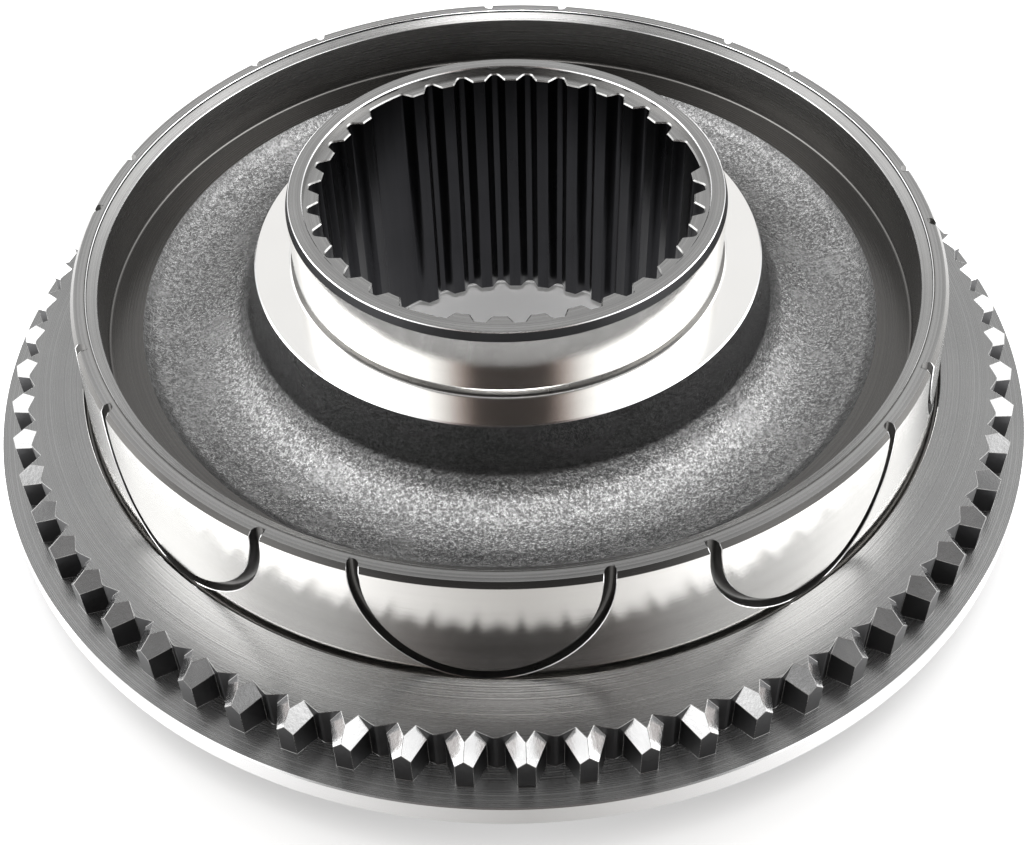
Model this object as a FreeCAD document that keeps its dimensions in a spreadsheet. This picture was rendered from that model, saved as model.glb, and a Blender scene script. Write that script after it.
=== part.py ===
import FreeCAD, Part
import math
import os
import Sketcher
from FreeCAD import Vector

# Synchronizer ring of a heavy truck gearbox: one forged and machined steel piece.
# Axis of the ring is +Z, the lower face of the hub lies on z = 0. Lengths in mm, angles in degrees.

NODE = "synchronizer_ring"

# Driving sizes: name, value, what it sets. Radii grow from the bore outwards by widths.
SIZES = [
    # heights, from the lower face of the hub upwards
    ("flange_bottom", 12.5, "height of the flange underside"),
    ("flange_thickness", 6.0, "thickness of the flange"),
    ("tooth_height", 11.0, "height of the dog teeth and the tooth plate above the flange"),
    ("hollow_depth", 14.9, "depth of the underside hollow above the flange underside"),
    ("web_thickness", 9.3, "thickness of the forged web at its lowest place"),
    ("dish_depth", 17.9, "depth of the dish below the shoulder"),
    ("journal_height", 17.4, "height of the hub above the shoulder"),
    ("rim_height", 14.9, "height of the rim above the machined floor"),
    # bore and spline 90 x 2.5 x 34
    ("spline_tip_radius", 42.5, "tooth tips of the spline"),
    ("spline_depth", 2.5, "tooth height of the spline"),
    ("spline_positions", 34, "tooth positions of the internal spline"),
    ("space_opening", 4.7, "width of a spline space at the tips"),
    ("space_bottom", 1.7, "width of a spline space at the root"),
    ("spline_phase", 2.29, "turn of the first space from the +Y axis"),
    ("first_missing", 7, "space before the first missing tooth"),
    ("second_missing", 19, "space before the second missing tooth"),
    ("third_missing", 30, "space before the third missing tooth"),
    ("counterbore_step", 1.1, "how far the counterbores stand outside the spline roots"),
    ("counterbore_depth", 1.5, "depth of the counterbore at both spline ends"),
    # journal and shoulder
    ("journal_wall", 3.9, "wall between counterbore and journal"),
    ("lead_in_height", 3.0, "height of the lead-in taper"),
    ("lead_in_step", 0.7, "radial step of the lead-in taper"),
    ("undercut_step", 0.3, "depth of the undercut in the journal"),
    ("undercut_height", 1.5, "height of the undercut above the shoulder"),
    ("undercut_width", 1.1, "width of the undercut in the shoulder"),
    ("undercut_depth", 0.5, "depth of the undercut in the shoulder"),
    ("shoulder_width", 9.0, "width of the ground shoulder"),
    # forged dish and machined floor, upper side
    ("neck_flare", 2.9, "slant of the steep neck wall"),
    ("neck_foot_rise", 7.3, "height of the neck wall's foot above the dish bottom"),
    ("neck_bend_width", 2.9, "width of the bend below the neck wall"),
    ("dish_slope_rise", 2.5, "rise of the dish slopes beside the dish bottom"),
    ("dish_inner_width", 5.7, "width of the inner dish slope"),
    ("dish_bottom_width", 7.0, "width of the dish bottom"),
    ("dish_outer_width", 7.1, "width of the outer dish slope"),
    ("border_width", 2.3, "width of the steep border between dish and floor"),
    ("border_height", 2.4, "height of that border"),
    ("floor_width", 7.9, "width of the machined floor inside the rim"),
    # rim and friction cone
    ("wall_foot", 0.8, "slant at the foot of the inner rim wall"),
    ("bevel_width", 2.2, "width of the inner bevel"),
    ("bevel_drop", 1.9, "height of the inner bevel"),
    ("land_width", 2.7, "width of the top land"),
    ("rim_chamfer_width", 0.9, "width of the outer rim chamfer"),
    ("rim_chamfer_drop", 1.1, "height of the outer rim chamfer"),
    ("cone_taper", 1.8, "growth of the cone radius down to the plate"),
    # relief, tooth plate and flange
    ("relief_width", 2.0, "width of the relief at the cone foot"),
    ("relief_depth", 2.3, "depth of that relief below the plate"),
    ("plate_width", 16.0, "width from the relief to the tooth tips"),
    ("flange_lip", 4.6, "how far the flange reaches past the teeth"),
    # underside
    ("boss_step", 7.5, "how far the lower hub stands outside the journal"),
    ("boss_draft", 1.2, "growth of the boss radius up to the web"),
    ("boss_chamfer", 1.5, "chamfer on the lower hub edge"),
    ("web_inner_offset", 6.5, "inner bend of the underside, outside the dish bottom's inner edge"),
    ("web_outer_offset", 7.0, "outer bend of the underside, outside the dish bottom's outer edge"),
    ("web_rise", 4.2, "rise of the underside between these bends"),
    ("hollow_step", 1.8, "how far the hollow's wall stands inside the rim bore"),
    ("hollow_draft", 0.9, "narrowing of that wall up to the web"),
    # dog teeth
    ("tooth_count", 63, "number of dog teeth"),
    ("tooth_tip_half", 1.8, "half width of a tooth at the tip radius"),
    ("tooth_root_half", 4.0, "half width of a tooth at its root"),
    ("tooth_length", 4.8, "length of the flanks, from root to tip"),
    ("gap_reach", 4.0, "depth of a gap behind the tips"),
    ("tongue_reach", 6.4, "depth of the roof behind the tips"),
    ("ridge_length", 3.0, "length of the sloping ridge"),
    ("ridge_slope", 35.0, "fall of the ridge towards the outside"),
    ("roof_side_angle", 41.0, "side slope of the roof, square to the ridge"),
    ("roof_reach", 1.0, "how far the roof cuts reach past the tips"),
    ("cutter_margin", 4.0, "how far the cutting shapes reach into the air"),
    # oil grooves
    ("groove_count", 9, "number of oil grooves"),
    ("groove_radius", 24.2, "radius of the groove centre line"),
    ("groove_centre_drop", 2.7, "depth of the groove centre below the rim top"),
    ("groove_width", 2.3, "width of an oil groove"),
    ("groove_depth", 2.4, "depth of an oil groove in the cone"),
    ("groove_phase", -4.4, "turn of the first groove from the -Y axis"),
]

# Radii and heights that follow from the driving sizes.
DERIVED = {
    "flange_top": "flange_bottom + flange_thickness",
    "plate_top": "flange_top + tooth_height",
    "web_bottom": "flange_bottom + hollow_depth",
    "dish_bottom": "web_bottom + web_thickness",
    "shoulder_top": "dish_bottom + dish_depth",
    "hub_top": "shoulder_top + journal_height",
    "floor_top": "dish_bottom + dish_slope_rise + border_height",
    "rim_top": "floor_top + rim_height",
    "spline_root_radius": "spline_tip_radius + spline_depth",
    "counterbore_radius": "spline_root_radius + counterbore_step",
    "journal_radius": "counterbore_radius + journal_wall",
    "neck_top_radius": "journal_radius + shoulder_width",
    "neck_foot_radius": "neck_top_radius + neck_flare",
    "neck_bend_radius": "neck_foot_radius + neck_bend_width",
    "dish_inner_radius": "neck_bend_radius + dish_inner_width",
    "dish_outer_radius": "dish_inner_radius + dish_bottom_width",
    "border_foot_radius": "dish_outer_radius + dish_outer_width",
    "floor_inner_radius": "border_foot_radius + border_width",
    "rim_bore_radius": "floor_inner_radius + floor_width",
    "land_inner_radius": "rim_bore_radius + bevel_width",
    "land_outer_radius": "land_inner_radius + land_width",
    "cone_top_radius": "land_outer_radius + rim_chamfer_width",
    "cone_foot_radius": "cone_top_radius + cone_taper",
    "relief_outer_radius": "cone_foot_radius + relief_width",
    "tooth_tip_radius": "relief_outer_radius + plate_width",
    "flange_radius": "tooth_tip_radius + flange_lip",
    "boss_radius": "journal_radius + boss_step",
    "hollow_radius": "rim_bore_radius - hollow_step",
    "tooth_root_radius": "tooth_tip_radius - tooth_length",
    "gap_back_radius": "tooth_tip_radius - gap_reach",
    "roof_back_radius": "tooth_tip_radius - tongue_reach",
    "ridge_start_radius": "tooth_tip_radius - ridge_length",
    "groove_centre_height": "rim_top - groove_centre_drop",
    "cone_slope": "cone_taper / (rim_top - rim_chamfer_drop - plate_top)",
}

doc = FreeCAD.newDocument("ring")
sizes = doc.addObject("Spreadsheet::Sheet", "sizes")
for row, (name, number, note) in enumerate(SIZES, start=1):
    sizes.set("A%d" % row, note)
    sizes.set("B%d" % row, str(number))
    sizes.setAlias("B%d" % row, name)
doc.recompute()


def named(expression):
    """Put the sheet name before every driving size and write out what is derived."""
    out, word = "", ""
    known = {entry[0] for entry in SIZES}
    for letter in expression + " ":
        if letter.isalnum() or letter == "_":
            word += letter
            continue
        if word in DERIVED:
            word = "(" + named(DERIVED[word]) + ")"
        elif word in known:
            word = "sizes." + word
        out += word + letter
        word = ""
    return out.strip()


def value(expression):
    """Number an expression stands for at the present sizes."""
    result = sizes.evalExpression(named(expression))
    return float(getattr(result, "Value", result))


def bind(target, path, expression):
    target.setExpression(path, named(expression))


def origin_part(body, role):
    for item in body.Origin.OriginFeatures:
        if item.Role == role:
            return item
    raise RuntimeError("no origin part " + role)


def new_sketch(body, plane, name):
    sketch = body.newObject("Sketcher::SketchObject", name)
    sketch.AttachmentSupport = [(origin_part(body, plane), "")]
    sketch.MapMode = "FlatFace"
    doc.recompute()
    return sketch


class Rules:
    """Collects sketch constraints and the expressions that drive them."""

    def __init__(self, sketch):
        self.sketch, self.items, self.driven = sketch, [], []

    def add(self, *arguments):
        self.items.append(Sketcher.Constraint(*arguments))

    def drive(self, expression, *arguments):
        self.driven.append((len(self.items), expression))
        self.items.append(Sketcher.Constraint(*(arguments + (value(expression),))))

    def place(self, geometry, point, across, upward):
        self.drive(across, "DistanceX", -1, 1, geometry, point)
        self.drive(upward, "DistanceY", -1, 1, geometry, point)

    def apply(self):
        first = self.sketch.ConstraintCount
        self.sketch.addConstraint(self.items)
        for index, expression in self.driven:
            bind(self.sketch, "Constraints[%d]" % (first + index), expression)
        doc.recompute()


def outline(sketch, corners):
    """Closed outline of straight lines through corners that are given as expressions."""
    spots = [Vector(value(across), value(upward), 0) for across, upward in corners]
    lines = []
    for start, end in zip(spots, spots[1:] + spots[:1]):
        lines.append(sketch.addGeometry(Part.LineSegment(start, end)))
    rules = Rules(sketch)
    for index, (across, upward) in enumerate(corners):
        rules.add("Coincident", lines[index - 1], 2, lines[index], 1)
        rules.place(lines[index], 1, across, upward)
    rules.apply()


def removed_some(body, step, before):
    """A cut that misses the solid gives no error, so the volumes are compared."""
    doc.recompute()
    if not step.Shape.Volume < before - 0.1:
        raise RuntimeError(step.Label + " removed nothing")
    body.Tip = step
    return step.Shape.Volume


def repeat(body, name, features, count):
    pattern = body.newObject("PartDesign::PolarPattern", name)
    pattern.Originals = features
    pattern.Axis = (origin_part(body, "Z_Axis"), [""])
    pattern.Angle = 360
    pattern.Occurrences = int(value(count))
    bind(pattern, "Occurrences", count)
    for feature in features:
        feature.Visibility = False
    body.Tip = pattern
    doc.recompute()
    return pattern


# Turned blank: the whole cross-section, from the lower bore edge round to the spline.
ring = doc.addObject("PartDesign::Body", NODE)
ring.Label = NODE
section = new_sketch(ring, "XZ_Plane", "cross_section")
outline(section, [
    ("counterbore_radius", "0"),
    ("boss_radius - boss_chamfer", "0"),
    ("boss_radius", "boss_chamfer"),
    ("boss_radius + boss_draft", "web_bottom"),
    ("dish_inner_radius + web_inner_offset", "web_bottom"),
    ("dish_outer_radius + web_outer_offset", "web_bottom + web_rise"),
    ("hollow_radius - hollow_draft", "web_bottom + web_rise"),
    ("hollow_radius", "flange_bottom"),
    ("flange_radius", "flange_bottom"),
    ("flange_radius", "flange_top"),
    ("tooth_tip_radius", "flange_top"),
    ("tooth_tip_radius", "plate_top"),
    ("relief_outer_radius", "plate_top"),
    ("relief_outer_radius", "plate_top - relief_depth"),
    ("cone_foot_radius + relief_depth * cone_slope", "plate_top - relief_depth"),
    ("cone_top_radius", "rim_top - rim_chamfer_drop"),
    ("land_outer_radius", "rim_top"),
    ("land_inner_radius", "rim_top"),
    ("rim_bore_radius", "rim_top - bevel_drop"),
    ("rim_bore_radius", "floor_top + wall_foot"),
    ("rim_bore_radius - wall_foot", "floor_top"),
    ("floor_inner_radius", "floor_top"),
    ("border_foot_radius", "floor_top - border_height"),
    ("dish_outer_radius", "dish_bottom"),
    ("dish_inner_radius", "dish_bottom"),
    ("neck_bend_radius", "dish_bottom + dish_slope_rise"),
    ("neck_foot_radius", "dish_bottom + neck_foot_rise"),
    ("neck_top_radius", "shoulder_top"),
    ("journal_radius + undercut_width", "shoulder_top"),
    ("journal_radius - undercut_step", "shoulder_top - undercut_depth"),
    ("journal_radius", "shoulder_top + undercut_height"),
    ("journal_radius", "hub_top - lead_in_height"),
    ("journal_radius - lead_in_step", "hub_top"),
    ("counterbore_radius", "hub_top"),
    ("counterbore_radius", "hub_top - counterbore_depth"),
    ("spline_tip_radius", "hub_top - counterbore_depth"),
    ("spline_tip_radius", "counterbore_depth"),
    ("counterbore_radius", "counterbore_depth"),
])
blank = ring.newObject("PartDesign::Revolution", "turned_blank")
blank.Profile = section
blank.ReferenceAxis = (origin_part(ring, "Z_Axis"), [""])
blank.Angle = 360
section.Visibility = False
doc.recompute()
ring.Tip = blank

# Oil grooves: ring shaped tubes across the cone wall, cut off inside along its slope. They end
# over the relief, so that the plate stays whole.
grooves = doc.addObject("PartDesign::Body", "oil_groove_cutters")
bind(grooves, "Placement.Rotation.Angle", "groove_phase")
track = new_sketch(grooves, "XZ_Plane", "groove_track")
bind(track, "AttachmentOffset.Base.z", "rim_bore_radius - cutter_margin * 2")
rules = Rules(track)
for extent in ("groove_radius - groove_width / 2", "groove_radius + groove_width / 2"):
    circle = Part.Circle(Vector(0, value("groove_centre_height"), 0), Vector(0, 0, 1), value(extent))
    loop = track.addGeometry(circle)
    rules.add("PointOnObject", loop, 3, -2)
    rules.drive("groove_centre_height", "DistanceY", -1, 1, loop, 3)
    rules.drive(extent, "Radius", loop)
rules.apply()
tube = grooves.newObject("PartDesign::Pad", "groove_tube")
tube.Profile = track
tube_length = "cone_foot_radius + relief_width / 2 - rim_bore_radius + cutter_margin * 2"
tube.Length = value(tube_length)
bind(tube, "Length", tube_length)
track.Visibility = False
doc.recompute()
grooves.Tip = tube
tubes = repeat(grooves, "groove_tubes", [tube], "groove_count")
core = new_sketch(grooves, "XZ_Plane", "groove_core")
top = "hub_top + cutter_margin * 3"
outline(core, [
    ("0", "0"),
    ("cone_foot_radius - groove_depth + plate_top * cone_slope", "0"),
    ("cone_foot_radius - groove_depth - (" + top + " - plate_top) * cone_slope", top),
    ("0", top),
])
core_cut = grooves.newObject("PartDesign::Groove", "groove_core_cut")
core_cut.Profile = core
core_cut.ReferenceAxis = (origin_part(grooves, "Z_Axis"), [""])
core_cut.Angle = 360
core.Visibility = False
removed_some(grooves, core_cut, tubes.Shape.Volume)

grooved = ring.newObject("PartDesign::Boolean", "oil_grooves")
grooved.Type = "Cut"
grooved.setObjects([grooves])
volume = removed_some(ring, grooved, blank.Shape.Volume)

# Internal spline: one space, all positions, then the three teeth that are left out.
space = new_sketch(ring, "XY_Plane", "spline_space")
bind(space, "AttachmentOffset.Rotation.Angle", "spline_phase")
flare = "(space_opening - space_bottom) / spline_depth / 2"
inner = "(space_opening / 2 + cutter_margin / 2 * " + flare + ")"
outline(space, [
    ("-" + inner, "spline_tip_radius - cutter_margin / 2"),
    (inner, "spline_tip_radius - cutter_margin / 2"),
    ("space_bottom / 2", "spline_root_radius"),
    ("-space_bottom / 2", "spline_root_radius"),
])
space_cut = ring.newObject("PartDesign::Pocket", "spline_space_cut")
space_cut.Profile = space
space_cut.Reversed = True
space_cut.Length = value("hub_top")
bind(space_cut, "Length", "hub_top")
space.Visibility = False
volume = removed_some(ring, space_cut, volume)
spline = repeat(ring, "spline", [space_cut], "spline_positions")
volume = removed_some(ring, spline, volume)

for name in ("first_missing", "second_missing", "third_missing"):
    seat = new_sketch(ring, "XY_Plane", name + "_tooth")
    bind(seat, "AttachmentOffset.Rotation.Angle",
         "spline_phase - (" + name + " + 0.5) * 360 / spline_positions")
    half = "spline_root_radius * sin(180 deg / spline_positions)"
    level = "spline_root_radius * cos(180 deg / spline_positions)"
    left, right = value("-" + half), value(half)
    low, high = value("spline_tip_radius - cutter_margin / 2"), value(level)
    bottom = seat.addGeometry(Part.LineSegment(Vector(left, low, 0), Vector(right, low, 0)))
    side = seat.addGeometry(Part.LineSegment(Vector(right, low, 0), Vector(right, high, 0)))
    turn = math.atan2(high, right)
    circle = Part.Circle(Vector(0, 0, 0), Vector(0, 0, 1), value("spline_root_radius"))
    arc = seat.addGeometry(Part.ArcOfCircle(circle, turn, math.pi - turn))
    other = seat.addGeometry(Part.LineSegment(Vector(left, high, 0), Vector(left, low, 0)))
    rules = Rules(seat)
    rules.add("Coincident", bottom, 2, side, 1)
    rules.add("Coincident", side, 2, arc, 1)
    rules.add("Coincident", arc, 2, other, 1)
    rules.add("Coincident", other, 2, bottom, 1)
    rules.add("Coincident", arc, 3, -1, 1)
    rules.add("Vertical", side)
    rules.add("Symmetric", bottom, 1, bottom, 2, -2)
    rules.add("Vertical", other)
    rules.drive("spline_root_radius", "Radius", arc)
    rules.drive(half, "DistanceX", -1, 1, side, 1)
    rules.drive("spline_tip_radius - cutter_margin / 2", "DistanceY", -1, 1, side, 1)
    rules.apply()
    seat_cut = ring.newObject("PartDesign::Pocket", name + "_cut")
    seat_cut.Profile = seat
    seat_cut.Reversed = True
    seat_cut.Length = value("hub_top")
    bind(seat_cut, "Length", "hub_top")
    seat.Visibility = False
    volume = removed_some(ring, seat_cut, volume)

# Dog teeth: a gap with a bulging back and slanting flanks, then the two roof slopes of a tooth.
# The gap is drawn on +Y, the tooth on -Y; with an odd tooth count both are in step.
pitch = "(180 deg / tooth_count)"
root_x = "(tooth_root_radius * sin%s - tooth_root_half * cos%s)" % (pitch, pitch)
root_y = "(tooth_root_radius * cos%s + tooth_root_half * sin%s)" % (pitch, pitch)
tip_x = "(tooth_tip_radius * sin%s - tooth_tip_half * cos%s)" % (pitch, pitch)
tip_y = "(tooth_tip_radius * cos%s + tooth_tip_half * sin%s)" % (pitch, pitch)
flank = "((%s - %s) / (%s - %s))" % (tip_x, root_x, tip_y, root_y)
outer_y = "(tooth_tip_radius + cutter_margin)"
outer_x = "(%s + (%s - %s) * %s)" % (root_x, outer_y, root_y, flank)

gap = new_sketch(ring, "XY_Plane", "tooth_gap")
bind(gap, "AttachmentOffset.Base.z", "plate_top + cutter_margin")
outline(gap, [
    ("0", "gap_back_radius"),
    ("-" + root_x, root_y),
    ("-" + outer_x, outer_y),
    (outer_x, outer_y),
    (root_x, root_y),
])
gap_cut = ring.newObject("PartDesign::Pocket", "tooth_gap_cut")
gap_cut.Profile = gap
gap_cut.Length = value("plate_top + cutter_margin - flange_top")
bind(gap_cut, "Length", "plate_top + cutter_margin - flange_top")
gap.Visibility = False
volume = removed_some(ring, gap_cut, volume)

roof_cuts = []
reach = "(tooth_tip_radius + roof_reach)"
for side, hand, other in (("right", "", "-"), ("left", "-", "")):
    slant = ring.newObject("PartDesign::Plane", "roof_plane_" + side)
    slant.AttachmentSupport = [(origin_part(ring, "XY_Plane"), "")]
    slant.MapMode = "FlatFace"
    turn_about_x = "rotation(vector(1; 0; 0); ridge_slope)"
    turn_about_y = "rotation(vector(0; 1; 0); %sroof_side_angle)" % hand
    bind(slant, "AttachmentOffset", "placement(vector(0; -ridge_start_radius; plate_top); "
         + turn_about_x + " * " + turn_about_y + ")")
    slant.Visibility = False
    roof = new_sketch(ring, "XY_Plane", "roof_" + side)
    bind(roof, "AttachmentOffset.Base.z", "plate_top + cutter_margin * 2")
    outline(roof, [
        (other + "roof_reach", "-roof_back_radius"),
        ("0", "-roof_back_radius"),
        (hand + "tooth_root_half", "-tooth_root_radius"),
        (hand + "gap_back_radius * sin" + pitch, "-gap_back_radius * cos" + pitch),
        (hand + reach + " * sin" + pitch, "-" + reach + " * cos" + pitch),
        (other + "roof_reach", "-" + reach + " * cos" + pitch),
    ])
    roof_cut = ring.newObject("PartDesign::Pocket", "roof_cut_" + side)
    roof_cut.Profile = roof
    roof_cut.Type = "UpToFace"
    roof_cut.UpToFace = (slant, [""])
    roof.Visibility = False
    volume = removed_some(ring, roof_cut, volume)
    roof_cuts.append(roof_cut)

teeth = repeat(ring, "dog_teeth", [gap_cut] + roof_cuts, "tooth_count")
volume = removed_some(ring, teeth, volume)

for item in doc.Objects:
    troubled = [state for state in item.State if state in ("Invalid", "Error")]
    if troubled:
        raise RuntimeError(item.Name + " is " + ", ".join(troubled))
    if hasattr(item, "Shape") and item.TypeId.startswith(("PartDesign", "Part::")):
        if item.TypeId != "PartDesign::Plane" and (item.Shape.isNull() or not item.Shape.isValid()):
            raise RuntimeError(item.Name + " has no valid shape")
if len(ring.Shape.Solids) != 1:
    raise RuntimeError("the ring is not one solid")

os.makedirs("parts", exist_ok=True)
ring.Shape.exportStep("parts/" + NODE + ".step")
print(NODE, "volume", round(ring.Shape.Volume), "faces", len(ring.Shape.Faces),
      "box", ring.Shape.BoundBox)
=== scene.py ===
import math

import bmesh
import bpy
from mathutils import Matrix, Vector


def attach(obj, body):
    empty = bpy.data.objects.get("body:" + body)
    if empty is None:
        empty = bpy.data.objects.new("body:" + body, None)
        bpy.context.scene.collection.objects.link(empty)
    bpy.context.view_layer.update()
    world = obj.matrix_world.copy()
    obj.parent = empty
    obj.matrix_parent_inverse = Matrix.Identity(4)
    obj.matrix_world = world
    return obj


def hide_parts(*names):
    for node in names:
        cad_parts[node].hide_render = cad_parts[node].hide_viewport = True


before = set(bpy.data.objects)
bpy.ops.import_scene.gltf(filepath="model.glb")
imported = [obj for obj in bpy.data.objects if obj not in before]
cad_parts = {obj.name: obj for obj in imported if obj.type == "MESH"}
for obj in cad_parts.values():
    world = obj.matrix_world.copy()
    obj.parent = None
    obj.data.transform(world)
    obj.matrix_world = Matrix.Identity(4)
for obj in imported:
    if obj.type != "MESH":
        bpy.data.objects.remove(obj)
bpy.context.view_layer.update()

bl_info = {
    "name": "Synchronizer Ring",
    "version": (1, 0, 0),
    "blender": (4, 5, 0),
    "location": "3D View > Sidebar > Ring",
    "description": "Shapes and finishes a synchronizer ring with cone, dog teeth and splined hub",
    "category": "Object",
}

NODE = "synchronizer_ring"
MM = 0.001
TEETH = 63
LATHE_STEPS = TEETH * 6         # so that turned rings and tooth ring share their points
LATHE_START = math.radians(-90)
WELD = 0.004 * MM               # points nearer than this are one point
SEAM = 0.15                     # mm between two skins before they are stitched
FINISHES = ("ground", "turned", "plate", "bay", "forged", "web", "dark", "groove", "cut", "flank", "edge")
GROUND, TURNED, PLATE, BAY, FORGED, WEB, DARK, GROOVE, CUT, FLANK, EDGE = range(len(FINISHES))


# Sizes and colours that a user may change.

def length(label, text, millimetres):
    return bpy.props.FloatProperty(name=label, description=text, default=millimetres * MM,
                                   unit="LENGTH", precision=5)


def tint(label, text, colour):
    return bpy.props.FloatVectorProperty(name=label, description=text, default=colour, size=3,
                                         subtype="COLOR", min=0, max=1)


class BodySizes(bpy.types.PropertyGroup):
    """Radii and heights of the turned and forged body"""
    flange: length("Flange radius", "Outer radius of the flange", 125.0)
    flange_bottom: length("Flange bottom", "Height of the flange's lower side", 12.5)
    hub_top: length("Hub top", "Height of the hub's upper end", 72.0)
    counterbore: length("Counterbore", "Radius of the recess at both hub ends", 46.1)
    journal: length("Journal", "Radius of the ground bearing seat", 50.0)
    journal_top: length("Journal top", "Where the lead-in taper starts", 70.0)
    journal_foot: length("Journal foot", "Height of the journal's lower end", 56.1)
    shoulder: length("Shoulder", "Outer radius of the ground shoulder", 59.0)
    shoulder_top: length("Shoulder top", "Height of the ground shoulder", 54.6)
    dish_bottom: length("Dish bottom", "Lowest height of the forged dish", 36.7)
    bay_floor: length("Bay floor", "Height of the turned floor inside the rim", 41.6)
    rim_bore: length("Rim bore", "Inner radius of the rim", 94.8)
    relief: length("Relief", "Outer radius of the relief at the cone's foot", 103.4)
    relief_floor: length("Relief floor", "Height of the relief's floor", 27.2)
    hollow: length("Hollow", "Outer radius of the hollow underneath", 93.0)
    hub_foot: length("Hub foot", "Outer radius of the hub's lower end", 57.5)


class ToothSizes(bpy.types.PropertyGroup):
    """Sizes of the dog teeth"""
    tip_radius: length("Tip radius", "Outer radius of the dog teeth", 120.4)
    tip_half: length("Tip half width", "Half width of a tooth at the tip", 1.8)
    root_radius: length("Root radius", "Radius where a flank meets the plate edge", 115.6)
    root_half: length("Root half width", "Half width of a tooth at the plate edge", 4.0)
    gap_back: length("Gap back", "Plate edge in the middle of a gap", 116.28)
    roof_back: length("Roof back", "Plate edge on the middle line of a tooth", 114.0)
    ridge_start: length("Ridge start", "Where the ridge leaves the plate top", 117.4)
    ridge_slope: bpy.props.FloatProperty(name="Ridge slope", subtype="ANGLE", min=0,
                                         description="Fall of the ridge towards the outside",
                                         default=math.radians(35))
    roof_slope: bpy.props.FloatProperty(name="Roof slope", subtype="ANGLE", min=0,
                                        description="Side slope of the roof, square to the ridge",
                                        default=math.radians(41))
    floor: length("Floor", "Height of the gap floors, the upper side of the flange", 18.5)
    top: length("Top", "Height of the plate", 29.5)
    inner_circle: length("Inner circle", "Where the tooth ring meets the turned plate", 112.6)
    outer_circle: length("Outer circle", "Where the tooth ring meets the turned flange", 121.2)
    edge: length("Edge break", "Width of the broken tooth edges", 0.07)
    count: bpy.props.IntProperty(name="Count", description="Number of dog teeth", default=TEETH, min=3)


class SplineSizes(bpy.types.PropertyGroup):
    """Sizes of the internal spline"""
    positions: bpy.props.IntProperty(name="Positions", description="Tooth positions", default=34, min=3)
    tip_radius: length("Tip radius", "Radius of the tooth tips", 42.5)
    root_radius: length("Root radius", "Radius of the roots", 45.0)
    opening: length("Opening", "Width of a space at the tips", 4.7)
    bottom: length("Bottom", "Width of a space at the root", 1.7)
    low: length("Lower end", "Height of the lower spline end", 1.5)
    high: length("Upper end", "Height of the upper spline end", 70.5)
    face_radius: length("End face", "Radius where the end face meets the counterbore", 45.8)
    edge: length("Edge break", "Chamfer at the spline ends", 0.3)
    phase: bpy.props.FloatProperty(name="Phase", description="Turn of the first space from +Y",
                                   subtype="ANGLE", default=math.radians(2.29))
    missing: bpy.props.IntVectorProperty(name="Missing teeth", size=3, default=(7, 19, 30),
                                         description="Space before each tooth that is left out")


class ConeSizes(bpy.types.PropertyGroup):
    """Sizes of the friction cone and its oil grooves"""
    foot_radius: length("Foot radius", "Cone radius at the plate", 102.4)
    top_radius: length("Top radius", "Cone radius at the top chamfer", 100.6)
    plate: length("Plate", "Height of the plate", 29.5)
    top: length("Cone top", "Height of the cone's upper edge", 55.4)
    rim: length("Rim", "Height of the top land", 56.5)
    chamfer: length("Rim chamfer", "Width of the rim chamfer", 0.9)
    low: length("Low edge", "Where the cone skin meets the turned relief", 28.0)
    land: length("Land", "Inner edge of the cone skin on the top land", 97.7)
    grooves: bpy.props.IntProperty(name="Grooves", description="Number of oil grooves", default=9, min=1)
    groove_radius: length("Groove radius", "Radius of the groove's middle line", 24.2)
    groove_height: length("Groove height", "Height of the groove's centre", 53.8)
    groove_width: length("Groove width", "Width of an oil groove", 2.3)
    groove_depth: length("Groove depth", "Depth of an oil groove", 2.4)
    flare: length("Groove edge", "Broken edge along an oil groove", 0.13)
    phase: bpy.props.FloatProperty(name="Phase", description="Turn of the first groove from -Y",
                                   subtype="ANGLE", default=math.radians(-4.4))


class SteelColours(bpy.types.PropertyGroup):
    """Colours of the steel's finishes"""
    ground: tint("Ground steel", "Cone, journal and shoulder", (0.86, 0.85, 0.83))
    turned: tint("Turned steel", "Hub face, lands and chamfers", (0.3, 0.298, 0.294))
    plate: tint("Tooth plate", "Finely turned plate and flange", (0.265, 0.265, 0.263))
    # painted shade: the bay tone is a darker copy of the turned steel for the rim bay, the relief at the
    # cone foot and the cone's top chamfer
    bay: tint("Rim bay", "Machined floor and inner wall of the rim", (0.115, 0.112, 0.108))
    forged: tint("Forged steel", "Dish between hub and rim, and the underside", (0.245, 0.245, 0.245))
    # painted shade: the dark and groove tones stand for the shade in the spline bore, the oil grooves and
    # the journal undercut
    dark: tint("Dark steel", "Lead-in taper and spline", (0.022, 0.022, 0.024))
    groove: tint("Oil grooves", "Milled oil grooves in the cone", (0.13, 0.128, 0.125))
    cut: tint("Cut steel", "Roofs of the dog teeth", (0.85, 0.85, 0.85))
    # painted shade: the flank tone is a near-black copy of the cut steel for the tooth flanks, tips and gap
    # walls; the lead-in taper takes it too
    flank: tint("Tooth flanks", "Flanks and gaps of the dog teeth", (0.05, 0.05, 0.052))


# Mesh building: a skin collects points, faces, their finish and the edges that stay crisp.

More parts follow.
